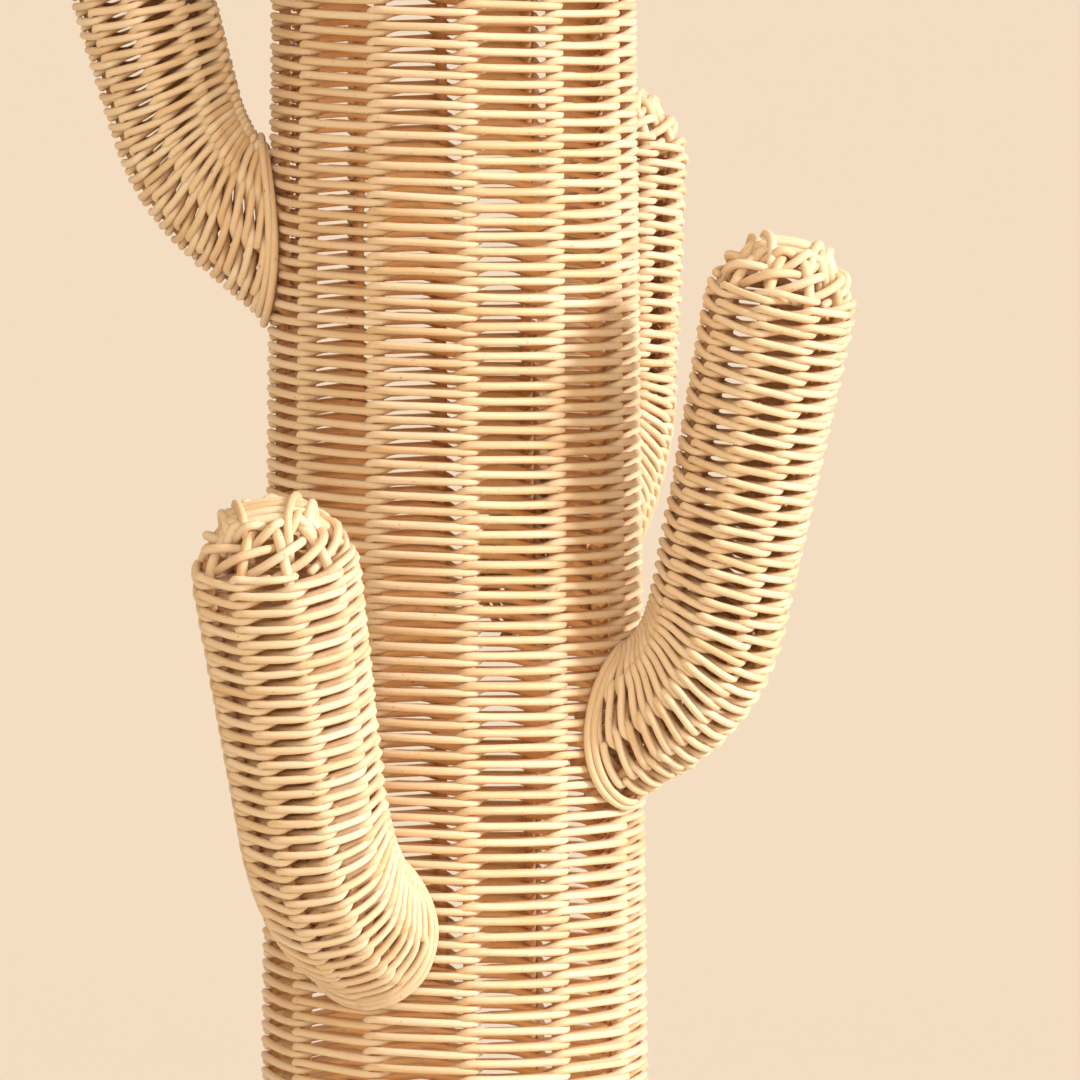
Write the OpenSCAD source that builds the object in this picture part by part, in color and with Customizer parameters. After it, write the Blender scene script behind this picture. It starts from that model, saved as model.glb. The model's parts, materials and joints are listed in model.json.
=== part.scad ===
// Woven rattan cactus: a hollow trunk with four upturned arms, free-standing, all basketwork.
// Z is up, the origin is on the trunk's axis at floor level, and the front faces -Y.
// Each weave is two skins, one outside its stakes and one inside, at the woven strands' true size.

/* [Trunk] */
// Overall height, floor to crown
total_h = 900; // [700:10:1100]
// Outer radius of the trunk at the floor
trunk_r_foot = 78; // [74:1:84]
// Outer radius of the trunk where the crown starts
trunk_r_top = 68.5; // [66:0.5:72]
// Number of upright stakes in the trunk
trunk_stakes = 12; // [9:3:15]
// Direction of the first stake, from the front towards the right
trunk_stake_turn = 5; // [-15:1:15]
// Height of the foot border
foot_h = 15; // [15:1:20]

/* [Rattan] */
// Diameter of a trunk stake
stake_d = 4.6; // [4:0.1:5.5]
// Diameter of an arm stake
arm_stake_d = 3.6; // [3:0.1:4.2]
// Diameter of a weaving strand
strand_d = 3; // [2.4:0.1:3.4]
// Diameter of the rods that close a tip
tip_rod_d = 3.6; // [3:0.1:4.2]

/* [Arms: front right, front left, upper left, rear right] */
// Direction round the trunk, from the front towards the right
arm_azimuth = [64, -27, -90, 150]; // [-180:1:180]
// Height at which the arm's axis leaves the trunk
arm_root_z = [379, 307, 565, 433]; // [280:1:600]
// Angle of the root above the horizontal
arm_root_rise = [33, 24, 41, 37]; // [15:1:45]
// Straight length before the elbow
arm_root_len = [17, 4, 18, 16]; // [2:1:30]
// Bend radius of the arm's axis
arm_elbow_r = [57, 70, 70, 84]; // [50:1:95]
// Angle of the upper arm above the horizontal
arm_tip_rise = [78, 74, 75, 86]; // [70:1:88]
// Straight length of the upper arm, up to its round tip
arm_upper_len = [120, 96, 132, 86]; // [70:1:150]
// Outer radius at the root and through the elbow
arm_root_r = [27, 29, 26.5, 29]; // [24:0.5:32]
// Outer radius at the round tip
arm_tip_r = [29.8, 32.3, 30, 30]; // [26:0.1:34]

/* [Weave] */
// Number of stakes in each arm
arm_stakes = 9; // [6:3:12]
// How far round a tip's dome the weave climbs
tip_weave_angle = 44; // [35:1:50]
// How far round a tip's dome the stakes reach
tip_stake_angle = 60; // [50:1:64]
// Clearance between a stake and what lies round it
bore_gap = 0.1; // [0.05:0.01:0.2]

/* [Hidden] */
$fn = 72;
ARM_NAMES = ["front_right", "front_left", "upper_left", "rear_right"];
ARM_PARTS = ["stakes", "weave", "tip_border", "root_ring"];

trunk_wall = stake_d + 2 * (strand_d + bore_gap);
arm_wall = arm_stake_d + 2 * (strand_d + bore_gap);
crown_z = total_h - trunk_r_top;
trunk_cone = (trunk_r_foot - trunk_r_top) / crown_z;
stake_inset = trunk_wall / 2;
arm_stake_inset = arm_wall / 2;
band_1_z = 252;
band_2_z = 500;
crown_weave_angle = 50;
crown_stake_angle = 72;
spoke_d = 4;
spoke_pitch = 5;
spoke_cross = 12;
foot_round = 1.15 * foot_h;
stake_foot_z = 3;
crown_rods = 5;
tip_rods = 3;
rod_spread = 1.4;
spoke_fan = 30;
ring_gap = 0.2;
ring_step = 2;
ring_reach = 14;

function trunk_r(z) = trunk_r_foot - trunk_cone * z;
function trunk_stake_at(i) = trunk_stake_turn + (i - 1) * 360 / trunk_stakes - 90;
function arm_stake_at(k) = k * 360 / arm_stakes;
// End points of the elbow, measured from the root in the arm's own upright plane, as [out, up]
function elbow_start(a) = arm_root_len[a] * [cos(arm_root_rise[a]), sin(arm_root_rise[a])];
function elbow_end(a) = elbow_start(a) + arm_elbow_r[a] * [
    sin(arm_tip_rise[a]) - sin(arm_root_rise[a]),
    cos(arm_root_rise[a]) - cos(arm_tip_rise[a])];

// Centre of the elbow's bend, as a point in the arm's frame
function elbow_centre(a) = [
    elbow_start(a)[0] - arm_elbow_r[a] * sin(arm_root_rise[a]), 0,
    elbow_start(a)[1] + arm_elbow_r[a] * cos(arm_root_rise[a])];

// ---- shared shapes ----

module rod(from, to, d) {
    v = to - from;
    translate(from)
        rotate([0, acos(v[2] / norm(v)), atan2(v[1], v[0])])
            cylinder(d = d, h = norm(v));
}

// Part of a circle bar standing in the XZ plane, from one angle above X to another
module upright_arc(bend_r, d, from, to, offset = [0, 0]) {
    rotate([90, 0, 0]) rotate([0, 0, from])
        rotate_extrude(angle = to - from)
            translate([bend_r + offset[0], offset[1]]) circle(d = d);
}

// Half of a flat ring on the right of the axis, from the X axis up to the given angle
module ring_sector(r, angle) {
    intersection() {
        difference() {
            circle(r = r);
            circle(r = r - strand_d);
        }
        square([r + 1, (r - strand_d) * sin(angle)]);
    }
}

// Outer and inner skin of a round tip between its equator and the given angle
module dome_skins(r, wall, angle) {
    for (inset = [0, wall - strand_d])
        rotate_extrude() ring_sector(r - inset, angle);
}

// Outer and inner skin of a straight tapering tube
module tube_skins(r_low, r_high, wall, h) {
    for (inset = [0, wall - strand_d])
        rotate_extrude()
            polygon([[r_low - inset - strand_d, 0], [r_low - inset, 0],
                     [r_high - inset, h], [r_high - inset - strand_d, h]]);
}

// Rods laid across a round tip in two layers, inside a ring that holds the bent stake ends
module tip_closing(r, angle, rods, d) {
    ring_r = (r - d / 2) * cos(angle) - bore_gap;
    ring_z = (r - d / 2) * sin(angle) + bore_gap + d / 2;
    translate([0, 0, ring_z]) rotate_extrude() translate([ring_r, 0]) circle(d = d);
    for (layer = [0, 1])
        rotate([0, 0, 90 * layer])
            for (j = [0:rods - 1]) {
                off = (j - (rods - 1) / 2) * ring_r * rod_spread / rods;
                arc_r = sqrt(pow(r - layer * (d + bore_gap), 2) - off * off);
                reach = sqrt(pow(ring_r - d, 2) - off * off);
                half = asin(reach / arc_r);
                translate([0, off, 0]) upright_arc(arc_r, d, 90 - half, 90 + half);
            }
}

// The trunk's outer shape, grown all round
module trunk_solid(grow) {
    cylinder(r1 = trunk_r_foot + grow, r2 = trunk_r_top + grow, h = crown_z);
}

// ---- base ----

// Three sticks side by side at the middle, fanned out to the trunk wall at both ends
module spoke_set(z) {
    reach = trunk_r_foot - trunk_wall - 1;
    for (j = [-1:1]) for (s = [-1, 1]) {
        bend = [s * spoke_cross, j * spoke_pitch, z];
        rod([0, j * spoke_pitch, z], bend, spoke_d);
        translate(bend) sphere(d = spoke_d);
        rod(bend, [s * reach * cos(spoke_fan * j), reach * sin(spoke_fan * j), z], spoke_d);
    }
}

module base_spokes_lower() {
    color("peru") spoke_set(strand_d + bore_gap + spoke_d / 2);
}

module base_spokes_upper() {
    color("peru") rotate([0, 0, 90]) spoke_set(strand_d + 2 * bore_gap + spoke_d * 1.5);
}

// Woven discs under and over the spokes
module base_weave() {
    color("burlywood") for (z = [0, strand_d + 3 * bore_gap + 2 * spoke_d])
        translate([0, 0, z]) cylinder(r = trunk_r_foot - trunk_wall - 0.3, h = strand_d);
}

module foot_border() {
    color("burlywood") difference() {
        rotate_extrude() translate([trunk_r_foot - trunk_wall / 2, foot_h / 2])
            intersection() {
                circle(d = foot_round);
                square([trunk_wall, foot_h], center = true);
            }
        for (i = [1:trunk_stakes]) trunk_stake_leg(i, bore_gap);
    }
}

// ---- trunk ----

module trunk_stake_leg(i, grow = 0) {
    rotate([0, 0, trunk_stake_at(i)])
        rod([trunk_r(stake_foot_z) - stake_inset, 0, stake_foot_z], [trunk_r_top - stake_inset, 0, crown_z],
            stake_d + 2 * grow);
}

module trunk_stake_top(i) {
    rotate([0, 0, trunk_stake_at(i)]) translate([0, 0, crown_z])
        upright_arc(trunk_r_top - stake_inset, stake_d, 0, crown_stake_angle);
}

module trunk_stake(i) {
    color("tan") {
        trunk_stake_leg(i);
        trunk_stake_top(i);
    }
}

// One stretch of the trunk's woven wall, with a hole for each arm stake that passes through it
module trunk_weave(z_low, z_high) {
    color("burlywood") difference() {
        translate([0, 0, z_low])
            tube_skins(trunk_r(z_low), trunk_r(z_high), trunk_wall, z_high - z_low);
        for (a = [0:3])
            if (arm_root_z[a] > z_low && arm_root_z[a] < z_high) arm_stake_feet(a, bore_gap);
    }
}

module crown_weave() {
    color("burlywood") translate([0, 0, crown_z])
        dome_skins(trunk_r_top, trunk_wall, crown_weave_angle);
}

module crown_border() {
    color("tan") translate([0, 0, crown_z])
        tip_closing(trunk_r_top, crown_weave_angle, crown_rods, stake_d);
}

// ---- arms ----

// Places its children at an arm's root: X points away from the trunk, Z up
module at_arm(a) {
    rotate([0, 0, arm_azimuth[a] - 90])
        translate([trunk_r(arm_root_z[a]), 0, arm_root_z[a]]) children();
}

module along(point, rise) {
    translate([point[0], 0, point[1]]) rotate([0, 90 - rise, 0]) children();
}

function spot(r, k, z) = [r * cos(arm_stake_at(k)), -r * sin(arm_stake_at(k)), z];

// The straight feet of the stakes run back through the trunk's wall
module arm_stake_feet(a, grow = 0) {
    back = (trunk_wall + arm_root_r[a] * sin(arm_root_rise[a])) / cos(arm_root_rise[a]);
    at_arm(a) along([0, 0], arm_root_rise[a])
        for (k = [0:arm_stakes - 1])
            translate(spot(arm_root_r[a] - arm_stake_inset, k, -back))
                cylinder(d = arm_stake_d + 2 * grow, h = back + arm_root_len[a] - bore_gap);
}

// One stake from the start of the elbow to the top of the round tip
module arm_stake_bend(a, k) {
    tube_r = arm_root_r[a] - arm_stake_inset;
    at_arm(a) {
        translate(elbow_centre(a))
            upright_arc(arm_elbow_r[a], arm_stake_d, arm_root_rise[a] - 90, arm_tip_rise[a] - 90,
                        tube_r * [cos(arm_stake_at(k)), sin(arm_stake_at(k))]);
        along(elbow_end(a), arm_tip_rise[a]) {
            rod(spot(tube_r, k, bore_gap),
                spot(arm_tip_r[a] - arm_stake_inset, k, arm_upper_len[a] - bore_gap), arm_stake_d);
            translate([0, 0, arm_upper_len[a]]) rotate([0, 0, -arm_stake_at(k)])
                upright_arc(arm_tip_r[a] - arm_stake_inset, arm_stake_d, 0, tip_stake_angle);
        }
    }
}

module arm_stakes_group(a) {
    color("tan") {
        arm_stake_feet(a);
        for (k = [0:arm_stakes - 1]) arm_stake_bend(a, k);
    }
}

// The arm's woven wall in three stretches: root, elbow and upper arm with its round tip
module arm_weave(a) {
    back = arm_root_r[a] * tan(arm_root_rise[a]) + 4;
    color("burlywood") {
        difference() {
            at_arm(a) along([0, 0], arm_root_rise[a]) translate([0, 0, -back])
                tube_skins(arm_root_r[a], arm_root_r[a], arm_wall,
                           back + arm_root_len[a] - bore_gap);
            trunk_solid(2 * bore_gap);
        }
        at_arm(a) {
            translate(elbow_centre(a)) elbow_skins(a);
            along(elbow_end(a), arm_tip_rise[a])
                translate([0, 0, bore_gap]) {
                    tube_skins(arm_root_r[a], arm_tip_r[a], arm_wall,
                               arm_upper_len[a] - 2 * bore_gap);
                    translate([0, 0, arm_upper_len[a] - bore_gap])
                        dome_skins(arm_tip_r[a], arm_wall, tip_weave_angle);
                }
        }
    }
}

module elbow_skins(a) {
    rotate([90, 0, 0]) rotate([0, 0, arm_root_rise[a] - 90])
        for (inset = [0, arm_wall - strand_d])
            rotate_extrude(angle = arm_tip_rise[a] - arm_root_rise[a])
                translate([arm_elbow_r[a], 0])
                    difference() {
                        circle(r = arm_root_r[a] - inset);
                        circle(r = arm_root_r[a] - inset - strand_d);
                    }
}

module arm_tip_border(a) {
    color("tan") at_arm(a) along(elbow_end(a), arm_tip_rise[a])
        translate([0, 0, arm_upper_len[a]])
            tip_closing(arm_tip_r[a], tip_weave_angle, tip_rods, tip_rod_d);
}

// Two strands round the foot of the arm, one on the other, lying against the trunk
module arm_root_ring(a) {
    back = arm_root_r[a] * tan(arm_root_rise[a]) + ring_reach;
    color("burlywood") for (turn = [0, 1]) {
        inner_r = arm_root_r[a] + ring_gap + turn * ring_step;
        intersection() {
            at_arm(a) along([0, 0], arm_root_rise[a]) translate([0, 0, -back])
                difference() {
                    cylinder(r = inner_r + strand_d, h = 2 * back);
                    translate([0, 0, -1]) cylinder(r = inner_r, h = 2 * back + 2);
                }
            difference() {
                trunk_solid(3 * bore_gap + (turn + 1) * strand_d);
                trunk_solid(3 * bore_gap + turn * (strand_d + bore_gap));
                far_side(a);
            }
        }
    }
}

// Everything on the side of the trunk away from an arm
module far_side(a) {
    rotate([0, 0, arm_azimuth[a] - 90]) translate([-3 * trunk_r_foot, 0, 0])
        cube([6 * trunk_r_foot, 4 * trunk_r_foot, 3 * total_h], center = true);
}

base_spokes_lower();
base_spokes_upper();
base_weave();
foot_border();
for (i = [1:trunk_stakes])
    trunk_stake(i);
trunk_weave(foot_h, band_1_z);  // trunk_weave_lower
trunk_weave(band_1_z, band_2_z);  // trunk_weave_middle
trunk_weave(band_2_z, crown_z);  // trunk_weave_upper
crown_weave();
crown_border();
for (a = [0:3]) {
    arm_stakes_group(a);
    arm_weave(a);
    arm_tip_border(a);
    arm_root_ring(a);
}
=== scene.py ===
"""The looks of the woven rattan cactus: each strand, stake and rod is its own tube of rattan."""

import json
import math
import random

import bpy
import numpy as np
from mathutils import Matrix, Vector

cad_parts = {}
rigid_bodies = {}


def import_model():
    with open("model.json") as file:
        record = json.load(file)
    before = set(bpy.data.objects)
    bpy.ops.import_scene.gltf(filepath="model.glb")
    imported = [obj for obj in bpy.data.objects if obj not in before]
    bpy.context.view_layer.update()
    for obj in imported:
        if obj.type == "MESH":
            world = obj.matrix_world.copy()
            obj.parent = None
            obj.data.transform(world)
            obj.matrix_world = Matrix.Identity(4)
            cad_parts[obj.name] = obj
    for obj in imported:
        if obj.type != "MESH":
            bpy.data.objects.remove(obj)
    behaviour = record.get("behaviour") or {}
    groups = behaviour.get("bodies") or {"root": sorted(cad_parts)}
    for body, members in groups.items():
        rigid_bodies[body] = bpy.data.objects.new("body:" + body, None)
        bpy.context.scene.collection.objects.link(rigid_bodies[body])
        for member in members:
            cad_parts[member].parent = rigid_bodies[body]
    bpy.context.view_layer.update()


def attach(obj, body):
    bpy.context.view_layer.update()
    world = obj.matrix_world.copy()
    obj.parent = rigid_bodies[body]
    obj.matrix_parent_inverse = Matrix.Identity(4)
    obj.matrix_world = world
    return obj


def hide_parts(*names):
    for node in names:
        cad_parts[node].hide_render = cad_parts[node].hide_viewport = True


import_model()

MM = 0.001
SEED = 7
rng = random.Random(SEED)

# Rattan; lengths are in millimetres until the meshes are made
STRAND_D = 3.1
STAKE_D = 4.6
ARM_STAKE_D = 4.0
TIP_ROD_D = 3.9
TIE_D = 3.5
SPOKE_D = 4.0
RIM_D = 3.4
GAP = 0.3  # kept free inside the CAD model's surface

# Sides of a round rod
STRAND_SIDES = 7
TIP_SIDES = 8
ROD_SIDES = 9
TRUNK_ROD_SIDES = 10

# Weave: one row is one float and the window above it
TRUNK_ROW = 5.9
ARM_ROW = 6.1
ELBOW_ROW = 6.9
STRANDS_APART = 1 / 3  # rows between the starts of neighbouring strands
FLOAT_DROP = 1 / 6  # rows a float falls over one pitch
WOBBLE = 0.3  # uneven height of a strand
UNEVEN_DEPTH = 0.12
REACH_GAP = 0.05  # between a strand and the stake that it crosses

# Trunk, from the same driving sizes as the CAD model
TOTAL_H = 900.0
TRUNK_R_FOOT = 78.0
TRUNK_R_TOP = 68.5
TRUNK_STAKES = 12
TRUNK_TURN = math.radians(5)
FOOT_H = 15.0
CROWN_WEAVE = 44.0
CROWN_CLOSE = 70.0

# Arms: direction round the trunk, root height, root rise, straight root, elbow radius,
# the upper arm's rise and straight length, outer radius at the root and at the tip
ARMS = {
    "front_right": (64, 379, 33, 17, 57, 78, 120, 27, 29.8),
    "front_left": (-27, 307, 24, 4, 70, 74, 96, 29, 32.3),
    "upper_left": (-90, 565, 41, 18, 70, 75, 132, 26.5, 30),
    "rear_right": (150, 433, 37, 16, 84, 86, 86, 29, 30),
}
ARM_STAKES = 9
ARM_WEAVE = 20.0  # degrees past the tip's equator where the regular rows stop
ARM_CLOSE = 66.0
FAN_LENGTH = 100.0  # rows lean from the trunk's side to square across the arm over this length
FAN_POWER = 1.25
FIRST_ROW_CLEAR = 3.0  # from the trunk's surface
RING_CLEARS = (1.5, 3.4)  # the same for the strands that ring an arm's foot
RING_DEPTHS = (0.6, 0.1)  # outside the weave's strands

# Stakes
STAKE_STEP = 4.0
STAKE_FOOT_Z = 7.5
STAKE_SUNK = 9.0  # how far an arm's stakes run into the trunk
STAKE_TUCK = 3.5
STAKE_TUCK_LENGTH = 9
STAKE_PAST = {"arm": 6, "trunk": 7}  # degrees that stakes run on past the closing strands
# Painted shade on the stakes: darker and warmer along the limb, fading out over the round tip
STAKE_PAINTED_SHADE = 0.8
STAKE_SHADE_FADE = 8

# Lids: rods side by side over the stakes' ends, and ties across them near both ends
ARM_LID = {"count": 5, "rod_d": TIP_ROD_D, "spread": 52}  # spread: degrees up the round tip
TRUNK_LID = {"count": 8, "rod_d": STAKE_D, "spread": 66}
TRUNK_TIE_SPREAD = 68
LID_RISE = 1.6  # above the stakes
LID_GAP = 0.7
LID_FALL = 1.3  # falls away faster than a ball across the rods
LID_FLAT = 0.8  # and more slowly along them
LID_TUCK, LID_TUCK_FROM = 30, 0.86
TIE_RISE = 2.2  # above the lid
TIE_PLACES = (0.62, 0.95)
TIE_LEAN = 0.15
TIE_TUCK, TIE_TUCK_FROM = 34, 0.8
TUCK_POWER = 1.2

# Foot and base
FIRST_ROW_Z = FOOT_H + 1.5
RIM_Z = (4.1, 10.9)
RIM_INSET = 5.2
RIM_CORE = 1.75
RIM_TWIST = 24
BASE_Z = 7.2
BASE_INSET = 12
BASE_CROSS = 12
BASE_PITCH = 5
BASE_FAN = 30
BASE_SPOKES = 12
LAYER_GAP = 0.05
BASE_WEAVE_R = (18, 66.5)


def trunk_r(z):
    return TRUNK_R_FOOT - (TRUNK_R_FOOT - TRUNK_R_TOP) * z / (TOTAL_H - TRUNK_R_TOP)


# ---- limbs: an axis with a stake circle round it, closed by a round tip ----


FOOT_SEARCH = (-60.0, 70.0)
FOOT_HALVINGS = 24


class Limb:
    """Maps distance along the axis, angle round it and depth from the stake circle to a point."""

    def __init__(self, start, azimuth, rise, root, bend_r, tip_rise, upper, r_low, r_high, stake_d):
        phi = math.radians(azimuth)
        self.start = np.array(start, float)
        self.out = np.array([math.sin(phi), -math.cos(phi), 0.0])
        self.side = np.array([math.cos(phi), math.sin(phi), 0.0])
        self.up = np.array([0, 0, 1.0])
        self.azimuth = phi
        self.rise, self.tip_rise = math.radians(rise), math.radians(tip_rise)
        self.root, self.bend_r, self.upper = root, bend_r, upper
        self.bend_len = bend_r * (self.tip_rise - self.rise)
        self.length = root + self.bend_len + upper
        inset = stake_d / 2 + STRAND_D + GAP
        self.r_low, self.r_high = r_low - inset, r_high - inset
        self.reach = (stake_d + STRAND_D) / 2 + REACH_GAP

    def axis(self, s):
        a0, a1 = self.rise, self.tip_rise
        a = a0 + np.clip(s - self.root, 0, self.bend_len) / max(self.bend_r, 1e-9)
        low = np.minimum(s, self.root)
        high = np.clip(s - self.root - self.bend_len, 0, None)
        out = low * math.cos(a0) + high * math.cos(a1) + self.bend_r * (np.sin(a) - math.sin(a0))
        up = low * math.sin(a0) + high * math.sin(a1) + self.bend_r * (math.cos(a0) - np.cos(a))
        point = self.start + out[..., None] * self.out + up[..., None] * self.up
        along = np.cos(a)[..., None] * self.out + np.sin(a)[..., None] * self.up
        away = np.sin(a)[..., None] * self.out - np.cos(a)[..., None] * self.up
        return point, along, away

    def radius(self, s):
        t = np.clip((s - self.root - self.bend_len) / max(self.upper, 1e-9), 0, 1)
        return self.r_low + (self.r_high - self.r_low) * t

    def place(self, s, angle, depth):
        """A distance past the axis's end climbs the round tip."""
        s, angle, depth = np.broadcast_arrays(*(np.asarray(v, float) for v in (s, angle, depth)))
        over = np.clip((s - self.length) / self.r_high, 0, math.pi / 2)
        point, along, away = self.axis(np.minimum(s, self.length))
        r = self.radius(np.minimum(s, self.length)) + depth
        ring = np.cos(angle)[..., None] * away + np.sin(angle)[..., None] * self.side
        return point + (r * np.cos(over))[..., None] * ring + (r * np.sin(over))[..., None] * along

    def tip_point(self, x, y, z):
        """A point from the round tip's centre, in the tip's own directions."""
        centre, along, away = self.axis(np.array(self.length))
        x, y, z = (np.asarray(v, float)[..., None] for v in (x, y, z))
        return centre + x * away + y * self.side + z * along

    def foot_s(self, angle, depth, clear):
        """Where the limb's surface at this angle stands clear of the trunk's."""
        low = np.full(np.shape(angle), FOOT_SEARCH[0])
        high = np.full(np.shape(angle), FOOT_SEARCH[1])
        for _ in range(FOOT_HALVINGS):
            middle = (low + high) / 2
            p = self.place(middle, angle, depth)
            gap = np.hypot(p[..., 0], p[..., 1]) - trunk_r(p[..., 2]) - clear
            low, high = np.where(gap < 0, middle, low), np.where(gap < 0, high, middle)
        return (low + high) / 2


def make_trunk():
    """The trunk is a limb with no elbow."""
    crown_z = TOTAL_H - TRUNK_R_TOP
    return Limb((0, 0, 0), 0, 90, 0, 0, 90, crown_z, TRUNK_R_FOOT, TRUNK_R_TOP, STAKE_D)


def make_arm(name):
    azimuth, z, *rest = ARMS[name]
    phi = math.radians(azimuth)
    r = trunk_r(z)
    return Limb((r * math.sin(phi), -r * math.cos(phi), z), azimuth, *rest, ARM_STAKE_D)


# ---- rows: which distance along a limb a row of the weave runs at ----


class TrunkRows:
    """Level rows, packed slightly tighter or looser with height."""

    def __init__(self, s_low, s_high):
        steps = np.arange(0, (s_high - s_low) / TRUNK_ROW * 1.1)
        # Slow waves in the row's height: rows per radian, phase and share of a row
        waves = [(rng.uniform(9, 40), rng.uniform(0, 6.3), rng.uniform(0.01, 0.02)) for _ in range(4)]
        size = 1 + sum(a * np.sin(steps / length + phase) for length, phase, a in waves)
        self.s = s_low + np.concatenate([[0], np.cumsum(TRUNK_ROW * size)])
        self.count = int(np.searchsorted(self.s, s_high))
        self.s_high = s_high

    def at(self, h, angle):
        return np.interp(h, np.arange(len(self.s)), self.s), np.full(np.shape(h), TRUNK_ROW)


class ArmRows:
    """Rows that start along the trunk's side and turn square to the arm past its elbow."""

    def __init__(self, limb, s_high):
        self.limb = limb
        self.angles = np.linspace(0, 2 * math.pi, 73)
        self.foot = limb.foot_s(self.angles, 0.0, FIRST_ROW_CLEAR)
        outer_foot = self.foot[0]
        r = limb.radius(np.array(0.0))
        s, line = 0.0, [0.0]
        while s < s_high:
            bent = limb.root < s < limb.root + limb.bend_len
            row = ELBOW_ROW if bent or s < limb.root else ARM_ROW
            stretch = 1 + (r / limb.bend_r if bent else 0)
            step = 0.1
            lean = (self.fan(s + step) - self.fan(s)) / step * outer_foot
            s += row / stretch / max(1 + lean, 0.5)
            line.append(s)
        self.s = np.array(line)
        self.count = len(line)
        self.s_high = s_high

    def fan(self, s):
        return np.clip(1 - np.asarray(s) / FAN_LENGTH, 0, 1) ** FAN_POWER

    def at(self, h, angle):
        steps = np.arange(len(self.s))
        middle = np.interp(h, steps, self.s)
        foot = np.interp(np.mod(angle, 2 * math.pi), self.angles, self.foot)
        s = middle + self.fan(middle) * foot
        later = np.interp(h + 0.5, steps, self.s)
        ahead = later + self.fan(later) * foot
        bent = (s > self.limb.root) & (s < self.limb.root + self.limb.bend_len)
        r = self.limb.radius(s)
        stretch = np.where(bent, 1 + r / self.limb.bend_r * np.cos(angle), 1)
        return s, np.maximum((ahead - s) * 2 * stretch, 0.5)


# ---- the weave ----

# One strand's repeat over three stakes: place in pitches, height in rows, and depth from the
# stake circle as a share of its reach. It passes outside two stakes and inside the third.
FLOAT = (
    (0.00, 0.00, 1.0),
    (0.25, -0.04, 0.95),
    (0.50, -FLOAT_DROP / 2, 0.9),
    (0.75, -FLOAT_DROP + 0.04, 0.95),
    (1.00, -FLOAT_DROP, 1.0),
)
FLOAT_END = len(FLOAT) - 1
TRUNK_REPEAT = FLOAT + (
    (1.09, -0.10, 0.3),
    (1.24, 0.20, -0.85),
    (1.80, 0.16, -0.9),
    (2.00, 0.34, -1.0),
    (2.22, 0.54, -0.8),
    (2.78, 0.52, -0.35),
    (2.90, 0.76, 0.4),
)
ARM_REPEAT = FLOAT + (
    (1.15, -0.12, 0.55),
    (1.40, 0.06, -0.5),
    (1.80, 0.18, -0.95),
    (2.00, 0.34, -1.0),
    (2.25, 0.50, -0.9),
    (2.62, 0.58, -0.4),
    (2.85, 0.78, 0.5),
)


def noise(n, size):
    """A seeded curve of n values that wanders about zero."""
    values = np.array([rng.gauss(0, size) for _ in range(n + 4)])
    return np.convolve(values, (0.15, 0.3, 0.4, 0.3, 0.15), mode="valid")


def weave(limb, rows, stakes, turn, repeat):
    """The path of every strand of a limb, with a fourth value: painted shade where it runs inside."""
    pitch = 2 * math.pi / stakes
    strands = []
    for j in range(stakes):
        base = STRANDS_APART * (j % 3)
        path = [
            (j + 3 * m + du, base + m + dh, depth, k == 0, k == FLOAT_END)
            for m in range(rows.count)
            for k, (du, dh, depth) in enumerate(repeat)
        ]
        u, h, depth, starts, ends = (np.array(v, float) for v in zip(*path))
        angle = turn + u * pitch
        s, row = rows.at(h + noise(len(h), WOBBLE / TRUNK_ROW), angle)
        # Painted shade: strands are darkened where they pass inside the stake circle
        inner = np.clip(-depth, 0, 1)
        tight = np.sqrt(np.clip(STRAND_D**2 - (row / 2) ** 2, 0, None)) / 2
        depth = depth * limb.reach + tight * (starts - ends) + noise(len(h), UNEVEN_DEPTH)
        keep = s < rows.s_high
        strands.append(np.column_stack([limb.place(s, angle, depth), inner])[keep])
    return strands


def smooth(points, times=2):
    """Points of a Catmull-Rom curve through the given ones."""
    p = np.asarray(points, float)
    a, b = p[:-1], p[1:]
    before = np.concatenate([[2 * p[0] - p[1]], p[:-2]])
    after = np.concatenate([p[2:], [2 * p[-1] - p[-2]]])
    parts = []
    for k in range(times):
        t = k / times
        curve = 2 * a + (b - before) * t + (2 * before - 5 * a + 4 * b - after) * t**2
        parts.append((curve + (3 * a - before - 3 * b + after) * t**3) / 2)
    return np.concatenate([np.stack(parts, axis=1).reshape(-1, p.shape[1]), p[-1:]])


# ---- tubes ----


def unit(v):
    return v / np.maximum(np.linalg.norm(v, axis=-1, keepdims=True), 1e-9)


END_SHRINK = 0.5
END_PUSH = 0.45


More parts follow.
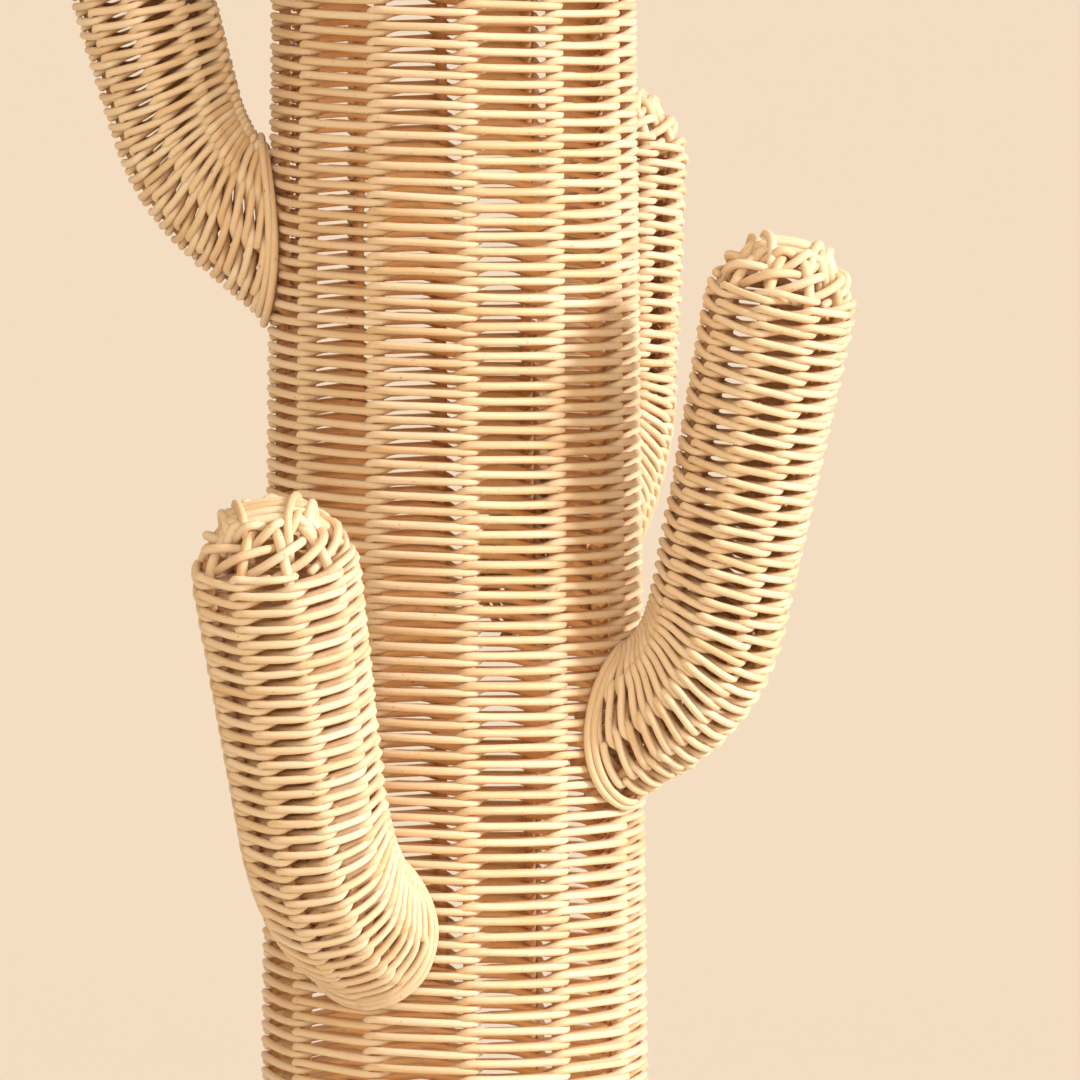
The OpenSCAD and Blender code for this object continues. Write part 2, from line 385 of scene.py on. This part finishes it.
def tube(points, inner, radius, sides):
    """A rod along the points with rounded ends: vertices, faces, grain and painted shade values."""
    d = unit(np.gradient(points, axis=0))
    x = unit(np.cross(d[0], (0.31, 0.57, 0.76)))
    across = []
    for k in range(len(points)):
        x = x - d[k] * (x @ d[k])
        x = x / math.sqrt(x @ x)
        across.append(x)
    across = np.array(across)
    upward = np.cross(d, across)
    run = np.concatenate([[0], np.cumsum(np.linalg.norm(np.diff(points, axis=0), axis=1))])
    index = np.array([0, *range(len(points)), len(points) - 1])
    shrink = np.ones(len(index))
    push = np.zeros(len(index))
    shrink[0] = shrink[-1] = END_SHRINK
    push[0], push[-1] = -END_PUSH, END_PUSH
    turn = np.linspace(0, 2 * math.pi, sides, endpoint=False)
    c, s = np.cos(turn), np.sin(turn)
    ring = c[None, :, None] * across[index][:, None] + s[None, :, None] * upward[index][:, None]
    centre = points[index] + d[index] * (push * radius)[:, None]
    verts = centre[:, None] + ring * (radius * shrink)[:, None, None]
    n = len(index)
    a = np.arange(n - 1)[:, None] * sides + np.arange(sides)[None]
    b = np.arange(n - 1)[:, None] * sides + (np.arange(sides)[None] + 1) % sides
    quads = np.stack([a, b, b + sides, a + sides], axis=-1).reshape(-1, 4)
    caps = [list(range(sides))[::-1], list(range((n - 1) * sides, n * sides))]
    grain = np.stack(
        [np.repeat(run[index][:, None], sides, 1), np.tile(c, (n, 1)), np.tile(s, (n, 1))], axis=-1
    )
    return verts.reshape(-1, 3), quads, caps, grain.reshape(-1, 3), np.repeat(inner[index], sides)


def piece(name, rods, material, nodes=()):
    """One piece from many rods, each given as its points, diameter and number of sides.

    A point may have a fourth value for painted shade: 1 where the rod runs inside the limb,
    where the weave shades it.
    """
    verts, faces, grains, tones, inner_shades = [], [], [], [], []
    base = 0
    for points, diameter, sides in rods:
        points = np.asarray(points, float)
        inner = points[:, 3] if points.shape[1] > 3 else np.zeros(len(points))
        v, quads, caps, grain, inner = tube(points[:, :3], inner, diameter / 2, sides)
        tone = rng.random()
        grain = grain + np.array([tone * 900, 0, 0])
        verts.append(v)
        faces.extend((quads + base).tolist())
        faces.extend([i + base for i in cap] for cap in caps)
        grains.append(grain)
        tones.append(np.full(len(v), tone))
        inner_shades.append(inner)
        base += len(v)
    mesh = bpy.data.meshes.new(name)
    mesh.from_pydata((np.concatenate(verts) * MM).tolist(), [], faces)
    mesh.update()
    layer = mesh.attributes.new("grain", "FLOAT_VECTOR", "POINT")
    layer.data.foreach_set("vector", np.concatenate(grains).astype(np.float32).ravel())
    # inner: the painted shade of the passes inside a limb
    for label, values in (("tone", tones), ("inner", inner_shades)):
        layer = mesh.attributes.new(label, "FLOAT", "POINT")
        layer.data.foreach_set("value", np.concatenate(values).astype(np.float32))
    mesh.polygons.foreach_set("use_smooth", [True] * len(mesh.polygons))
    mesh.materials.append(material)
    obj = bpy.data.objects.new(name, mesh)
    bpy.context.scene.collection.objects.link(obj)
    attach(obj, "root")
    if nodes:
        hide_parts(*nodes)
    return obj


# ---- materials ----


FLECK = (0.62, 0.42, 0.25)
# Painted shade for rods where they run inside a limb: a darker, warmer tint
INSIDE_PAINTED_SHADE = (0.88, 0.68, 0.45)


def rattan(name, light, middle, dark):
    """Rattan core: fibres along the rod, slow changes of tone, dark flecks, painted shade inside."""
    mat = bpy.data.materials.new(name)
    mat.use_nodes = True
    nodes, links = mat.node_tree.nodes, mat.node_tree.links
    nodes.clear()

    def math_node(operation, a, b):
        node = nodes.new("ShaderNodeMath")
        node.operation = operation
        for socket, value in zip(node.inputs, (a, b)):
            if isinstance(value, (int, float)):
                socket.default_value = value
            else:
                links.new(value, socket)
        return node.outputs[0]

    def attribute(label):
        node = nodes.new("ShaderNodeAttribute")
        node.attribute_name = label
        return node.outputs

    def multiply(colour, tint, amount):
        node = nodes.new("ShaderNodeMix")
        node.data_type = "RGBA"
        node.blend_type = "MULTIPLY"
        node.inputs["B"].default_value = (*tint, 1)
        links.new(colour, node.inputs["A"])
        links.new(amount, node.inputs["Factor"])
        return node.outputs["Result"]

    def noise_node(vector, scale, stretch, detail):
        mapping = nodes.new("ShaderNodeMapping")
        mapping.inputs["Scale"].default_value = stretch
        node = nodes.new("ShaderNodeTexNoise")
        node.inputs["Scale"].default_value = scale
        node.inputs["Detail"].default_value = detail
        links.new(vector, mapping.inputs["Vector"])
        links.new(mapping.outputs[0], node.inputs["Vector"])
        return node.outputs["Fac"]

    out = nodes.new("ShaderNodeOutputMaterial")
    shader = nodes.new("ShaderNodeBsdfPrincipled")
    links.new(shader.outputs[0], out.inputs[0])
    shader.inputs["IOR"].default_value = 1.45
    shader.inputs["Specular IOR Level"].default_value = 0.5
    shader.inputs["Sheen Weight"].default_value = 0.25
    shader.inputs["Sheen Roughness"].default_value = 0.4
    shader.inputs["Subsurface Weight"].default_value = 0.25
    shader.inputs["Subsurface Radius"].default_value = (1.0, 0.55, 0.28)
    shader.inputs["Subsurface Scale"].default_value = 0.004

    # Grain is millimetres along a rod, then the cosine and sine of the place round it
    grain = attribute("grain")["Vector"]
    place = nodes.new("ShaderNodeTexCoord").outputs["Object"]
    slow = noise_node(grain, 1.0, (0.016, 0.35, 0.35), 2.0)
    fibre = noise_node(grain, 1.0, (0.10, 3.2, 3.2), 5.0)
    patch = noise_node(place, 22.0, (1, 1, 1), 3.0)
    fleck = noise_node(grain, 1.0, (0.45, 1.3, 1.3), 2.0)

    mix = math_node("MULTIPLY", slow, 0.85)
    for value, share in ((attribute("tone")["Fac"], 0.34), (fibre, 0.45), (patch, 0.45)):
        mix = math_node("ADD", mix, math_node("MULTIPLY", value, share))
    mix = math_node("SUBTRACT", mix, 0.55)

    ramp = nodes.new("ShaderNodeValToRGB")
    low, high = ramp.color_ramp.elements
    low.position, low.color = 0.2, (*dark, 1)
    high.position, high.color = 0.8, (*light, 1)
    ramp.color_ramp.elements.new(0.5).color = (*middle, 1)
    links.new(mix, ramp.inputs["Fac"])

    spot = nodes.new("ShaderNodeMapRange")
    spot.inputs["From Min"].default_value = 0.68
    spot.inputs["From Max"].default_value = 0.78
    links.new(fleck, spot.inputs["Value"])
    colour = multiply(ramp.outputs["Color"], FLECK, spot.outputs[0])
    # Painted shade on the passes inside a limb
    colour = multiply(colour, INSIDE_PAINTED_SHADE, attribute("inner")["Fac"])
    links.new(colour, shader.inputs["Base Color"])

    rough = nodes.new("ShaderNodeMapRange")
    rough.inputs["To Min"].default_value = 0.66
    rough.inputs["To Max"].default_value = 0.44
    links.new(fibre, rough.inputs["Value"])
    links.new(rough.outputs[0], shader.inputs["Roughness"])

    bump = nodes.new("ShaderNodeBump")
    bump.inputs["Strength"].default_value = 0.4
    bump.inputs["Distance"].default_value = 0.00025
    links.new(fibre, bump.inputs["Height"])
    links.new(bump.outputs[0], shader.inputs["Normal"])
    return mat


def plain(name, colour, rough):
    mat = bpy.data.materials.new(name)
    mat.use_nodes = True
    shader = mat.node_tree.nodes["Principled BSDF"]
    shader.inputs["Base Color"].default_value = (*colour, 1)
    shader.inputs["Roughness"].default_value = rough
    shader.inputs["Specular IOR Level"].default_value = 0.1
    return mat


STRAND = rattan("rattan_strand", (0.87, 0.70, 0.49), (0.82, 0.62, 0.40), (0.71, 0.49, 0.26))
STAKE = rattan("rattan_stake", (0.86, 0.68, 0.46), (0.80, 0.59, 0.37), (0.67, 0.45, 0.23))


# ---- building the limbs ----


def add_weave(name, limb, rows, stakes, turn, repeat, nodes, pieces):
    strands = weave(limb, rows, stakes, turn, repeat)
    rods = [(smooth(p), STRAND_D * rng.uniform(0.94, 1.03), STRAND_SIDES) for p in strands]
    share = len(rods) // pieces
    for k in range(pieces):
        label = f"{name}_strands_{k + 1}" if pieces > 1 else f"{name}_strands"
        piece(label, rods[k * share : (k + 1) * share], STRAND, nodes if k == 0 else ())


def stake_path(limb, angle, s_low, close):
    """Up the limb, over the round tip and in under the rods that close it."""
    top = limb.length + limb.r_high * math.radians(close)
    s = np.arange(s_low, top, STAKE_STEP)
    dive = np.clip((s - top + STAKE_TUCK_LENGTH) / STAKE_TUCK_LENGTH, 0, 1)
    angle = angle + noise(len(s), 0.004)
    depth = noise(len(s), 0.1) - STAKE_TUCK * dive**2
    # Painted shade along the limb, where the stakes lie in the weave, fading out over the round tip
    inner = np.clip((limb.length + STAKE_SHADE_FADE - s) / STAKE_SHADE_FADE, 0, 1) * STAKE_PAINTED_SHADE
    return np.column_stack([limb.place(s, angle, depth), inner])


# A closing strand climbs the round tip past four stakes: place in pitches, share of the climb,
# and depth as a share of the reach. Outside the first and third, inside the second and fourth.
CLOSING = (
    (-0.35, -0.14, -1.0),
    (0.15, 0.0, -0.6),
    (0.55, 0.12, 0.35),
    (1.00, 0.27, 1.0),
    (1.50, 0.43, 0.1),
    (2.00, 0.57, -0.95),
    (2.50, 0.72, 0.0),
    (3.00, 0.86, 0.95),
    (3.45, 0.97, 0.1),
    (3.90, 1.02, -1.3),
)


def closing_strands(limb, stakes, turn, low, high):
    """The strands between the weave's last row and the lid, from one angle up the tip to another."""
    pitch = 2 * math.pi / stakes
    s_low = limb.length + limb.r_high * math.radians(low)
    climb = limb.r_high * math.radians(high - low)
    paths = []
    for k in range(stakes):
        u, rise, depth = (np.array(v, float) for v in zip(*CLOSING))
        u = k + u + noise(len(u), 0.03)
        s = s_low + (rise + noise(len(u), 0.02)) * climb
        paths.append(smooth(limb.place(s, turn + u * pitch, depth * limb.reach), 3))
    return paths


def lid_point(limb, x, y, z):
    """A point from the round tip's centre, with x along the lid's rods: the same way on all limbs."""
    along = math.pi / 2 - limb.azimuth
    c, s = math.cos(along), math.sin(along)
    return limb.tip_point(x * c - y * s, x * s + y * c, z)


def tuck(t, start, depth):
    """How far a rod's end is bent in at the share t of its half length."""
    return depth * np.clip(np.abs(t) - start, 0, None) ** TUCK_POWER


def lid_rods(limb, count, rod_d, spread):
    """Parallel rods across the very top, tucked in at both ends."""
    top = limb.r_high + LID_RISE
    paths = []
    offsets = (np.arange(count) - (count - 1) / 2) * (rod_d + LID_GAP)
    reach = limb.r_high * math.cos(math.radians(spread))
    for offset in offsets:
        offset += rng.uniform(-0.25, 0.25)
        half = math.sqrt(max(reach**2 - offset**2, 9.0)) + rng.uniform(0, 1.5)
        t = np.linspace(-1.18, 1.18, 15)
        x = t * half
        z = np.sqrt(np.maximum(top**2 - LID_FALL * offset**2 - (LID_FLAT * x) ** 2, 1))
        z = z + rng.uniform(-0.4, 0.4)
        paths.append(lid_point(limb, x, offset, z - tuck(t, LID_TUCK_FROM, LID_TUCK)))
    return paths


def tie_rods(limb, spread):
    """Two ties over each end of the lid's rods."""
    top = limb.r_high + LID_RISE + TIE_RISE
    reach = limb.r_high * math.cos(math.radians(spread))
    paths = []
    for side in (-1, 1):
        for place in TIE_PLACES:
            x = side * reach * place + rng.uniform(-0.6, 0.6)
            half = math.sqrt(max((1.1 * reach) ** 2 - x**2, 16.0)) * rng.uniform(0.85, 1.05)
            t = np.linspace(-1.2, 1.2, 13)
            y = t * half + rng.uniform(-2, 2)
            lean = side * TIE_LEAN * y
            z = np.sqrt(np.maximum(top**2 - x**2 - y**2, 1)) - tuck(t, TIE_TUCK_FROM, TIE_TUCK)
            paths.append(lid_point(limb, x + lean, y, z))
    return paths


def root_ring(limb):
    """Strands that run round an arm's foot against the trunk."""
    angle = np.linspace(0, 2 * math.pi, 61)
    paths = []
    for clear, outside in zip(RING_CLEARS, RING_DEPTHS):
        depth = limb.reach + outside
        slack = rng.uniform(0.6, 1.6) * (1 + np.sin(angle + rng.uniform(0, 2 * math.pi))) / 2
        s = limb.foot_s(angle, depth + slack, clear)
        paths.append(limb.place(s, angle, depth + slack + noise(len(angle), 0.2)))
    return paths


def add_arm(name):
    arm = make_arm(name)
    pitch = 2 * math.pi / ARM_STAKES
    rows = ArmRows(arm, arm.length + arm.r_high * math.radians(ARM_WEAVE))
    add_weave(f"arm_{name}", arm, rows, ARM_STAKES, 0.0, ARM_REPEAT, (f"arm_{name}_weave",), 1)
    stakes = []
    for k in range(ARM_STAKES):
        foot = float(arm.foot_s(np.array(k * pitch), 0.0, -STAKE_SUNK))
        path = stake_path(arm, k * pitch, foot, ARM_CLOSE + STAKE_PAST["arm"])
        stakes.append((path, ARM_STAKE_D, ROD_SIDES))
    piece(f"arm_{name}_rods", stakes, STAKE, (f"arm_{name}_stakes",))
    closing = closing_strands(arm, ARM_STAKES, 0.0, ARM_WEAVE + 3, ARM_CLOSE)
    tips = [(p, TIE_D, TIP_SIDES) for p in closing]
    tips += [(smooth(p), TIP_ROD_D, ROD_SIDES) for p in lid_rods(arm, **ARM_LID)]
    tips += [(smooth(p), TIE_D, TIP_SIDES) for p in tie_rods(arm, ARM_LID["spread"])]
    piece(f"arm_{name}_tip", tips, STRAND, (f"arm_{name}_tip_border",))
    ring = [(smooth(p), STRAND_D, TIP_SIDES) for p in root_ring(arm)]
    piece(f"arm_{name}_foot_ring", ring, STRAND, (f"arm_{name}_root_ring",))


def rope(radius, z, strands, twist, core, around=240):
    """Strands twisted round each other, all the way round a circle."""
    turn = np.linspace(0, 2 * math.pi, around)
    paths = []
    for k in range(strands):
        phase = turn * twist + k * 2 * math.pi / strands
        r = radius + core * np.cos(phase)
        paths.append(np.stack([r * np.cos(turn), r * np.sin(turn), z + core * np.sin(phase)], axis=1))
    return paths


def base_spokes(across, z_middle, z_out):
    """Three sticks side by side at the middle of the base, fanned out at both ends."""
    reach = TRUNK_R_FOOT - BASE_INSET
    paths = []
    for j in (-1, 0, 1):
        fan, side = math.radians(BASE_FAN * j), BASE_PITCH * j
        half = [(BASE_CROSS, side, z_middle), (2.2 * BASE_CROSS, 2 * side, z_out)]
        half += [(r * math.cos(fan), r * math.sin(fan), z_out) for r in (0.7 * reach, reach)]
        path = [(-x, y, z) for x, y, z in reversed(half)] + [(0, side, z_middle)] + half
        paths.append(np.array([(-y, x, z) if across else (x, y, z) for x, y, z in path]))
    return paths


def coil(r_low, r_high, z, swing, spokes, phase):
    """A strand that winds outwards, above and below the base's spokes in turn."""
    turns = (r_high - r_low) / (2 * STRAND_D + 0.3)
    angle = np.linspace(0, 2 * math.pi * turns, int(turns * spokes * 6))
    r = r_low + (r_high - r_low) * angle / angle[-1]
    height = z + swing * np.cos(angle * spokes / 2 + phase)
    return np.stack([r * np.cos(angle + phase), r * np.sin(angle + phase), height], axis=1)


def add_trunk():
    trunk = make_trunk()
    pitch = 2 * math.pi / TRUNK_STAKES
    top = trunk.length + trunk.r_high * math.radians(CROWN_WEAVE)
    rows = TrunkRows(FIRST_ROW_Z, top)
    nodes = ("trunk_weave_lower", "trunk_weave_middle", "trunk_weave_upper", "crown_weave")
    add_weave("trunk", trunk, rows, TRUNK_STAKES, TRUNK_TURN, TRUNK_REPEAT, nodes, 6)
    for k in range(TRUNK_STAKES):
        close = CROWN_CLOSE + STAKE_PAST["trunk"]
        rod = (stake_path(trunk, TRUNK_TURN + k * pitch, STAKE_FOOT_Z, close), STAKE_D, TRUNK_ROD_SIDES)
        piece(f"trunk_rod_{k + 1}", [rod], STAKE, (f"trunk_stake_{k + 1}",))
    closing = closing_strands(trunk, TRUNK_STAKES, TRUNK_TURN, CROWN_WEAVE + 2, CROWN_CLOSE)
    lid = [(p, STRAND_D, TIP_SIDES) for p in closing]
    lid += [(smooth(p), STAKE_D, ROD_SIDES) for p in lid_rods(trunk, **TRUNK_LID)]
    lid += [(smooth(p), STRAND_D, TIP_SIDES) for p in tie_rods(trunk, TRUNK_TIE_SPREAD)]
    piece("trunk_crown", lid, STRAND, ("crown_border",))
    add_foot()


def add_foot():
    rim_r = TRUNK_R_FOOT - RIM_INSET
    rim = [(p, RIM_D, TIP_SIDES) for z in RIM_Z for p in rope(rim_r, z, 2, RIM_TWIST, RIM_CORE)]
    piece("trunk_foot", rim, STRAND, ("foot_border",))
    swing = (SPOKE_D + STRAND_D) / 2
    turns = [coil(*BASE_WEAVE_R, BASE_Z, swing, BASE_SPOKES, k * math.pi) for k in (0, 1)]
    weave_rods = [(p, STRAND_D, STRAND_SIDES) for p in turns]
    piece("trunk_floor", weave_rods, STRAND, ("base_weave",))
    half_layer = SPOKE_D / 2 + LAYER_GAP
    for name, across, z in (("lower", False, BASE_Z - half_layer), ("upper", True, BASE_Z + half_layer)):
        spokes = [(smooth(p, 6), SPOKE_D, ROD_SIDES) for p in base_spokes(across, z, BASE_Z)]
        piece(f"trunk_spokes_{name}", spokes, STAKE, (f"base_spokes_{name}",))


add_trunk()
for arm_name in ARMS:
    add_arm(arm_name)


# ---- stage, light and camera ----

CENTRE = (0.033, 0.0, 0.448)
ELEVATION = math.radians(5.2)
DISTANCE = 3.6
FLOOR = 60.0
FLOOR_COLOUR = (0.77, 0.715, 0.61)
LENS = 311.0
SENSOR = 36.0
SIGHT = 200

# The daylight that the open weave lets into the trunk
INNER_HEIGHTS = (0.10, 0.26, 0.42, 0.58, 0.74)
INNER_POWER = 0.06
INNER_COLOUR = (1.0, 0.88, 0.68)
INNER_SIZE = 0.03


def aim(obj, target):
    obj.rotation_euler = (Vector(target) - obj.location).to_track_quat("-Z", "Y").to_euler()


def toward(azimuth, rise, distance):
    a, e = math.radians(azimuth), math.radians(rise)
    spot = (math.sin(a) * math.cos(e), -math.cos(a) * math.cos(e), math.sin(e))
    return [c + distance * v for c, v in zip(CENTRE, spot)]


def sun(name, azimuth, rise, strength, spread, colour):
    data = bpy.data.lights.new(name, "SUN")
    data.energy, data.angle, data.color = strength, math.radians(spread), colour
    obj = bpy.data.objects.new(name, data)
    bpy.context.scene.collection.objects.link(obj)
    obj.location = toward(azimuth, rise, 3)
    aim(obj, CENTRE)


def inner_light(height):
    """One light on the trunk's axis, for the trunk's own pieces only."""
    data = bpy.data.lights.new("inner", "POINT")
    data.energy, data.color, data.shadow_soft_size = INNER_POWER, INNER_COLOUR, INNER_SIZE
    obj = bpy.data.objects.new("inner", data)
    bpy.context.scene.collection.objects.link(obj)
    obj.location = (0, 0, height)
    obj.visible_camera = False
    obj.light_linking.receiver_collection = trunk_pieces


trunk_pieces = bpy.data.collections.new("trunk_pieces")
for obj in list(bpy.context.scene.collection.objects):
    if obj.name.startswith("trunk_") and not obj.hide_render:
        trunk_pieces.objects.link(obj)

corners = [(-FLOOR, -FLOOR, 0), (FLOOR, -FLOOR, 0), (FLOOR, FLOOR, 0), (-FLOOR, FLOOR, 0)]
floor_mesh = bpy.data.meshes.new("floor")
floor_mesh.from_pydata(corners, [], [(0, 1, 2, 3)])
floor = bpy.data.objects.new("floor", floor_mesh)
bpy.context.scene.collection.objects.link(floor)
floor_mesh.materials.append(plain("floor_paper", FLOOR_COLOUR, 0.9))

world = bpy.data.worlds.new("studio")
bpy.context.scene.world = world
world.use_nodes = True
sky = world.node_tree.nodes["Background"]
sky.inputs["Color"].default_value = (1.0, 0.74, 0.48, 1)
sky.inputs["Strength"].default_value = 0.56

sun("key", 70, 23, 3.9, 12, (1.0, 0.98, 1.02))
sun("fill", -2, 20, 1.3, 60, (1.0, 0.95, 0.88))
for height in INNER_HEIGHTS:
    inner_light(height)

camera_data = bpy.data.cameras.new("camera")
camera_data.sensor_width = SENSOR
camera_data.lens = LENS
camera_data.clip_end = SIGHT
camera = bpy.data.objects.new("camera", camera_data)
bpy.context.scene.collection.objects.link(camera)
camera.location = toward(0, math.degrees(ELEVATION), DISTANCE)
aim(camera, CENTRE)
bpy.context.scene.camera = camera
bpy.context.scene.view_settings.view_transform = "Standard"
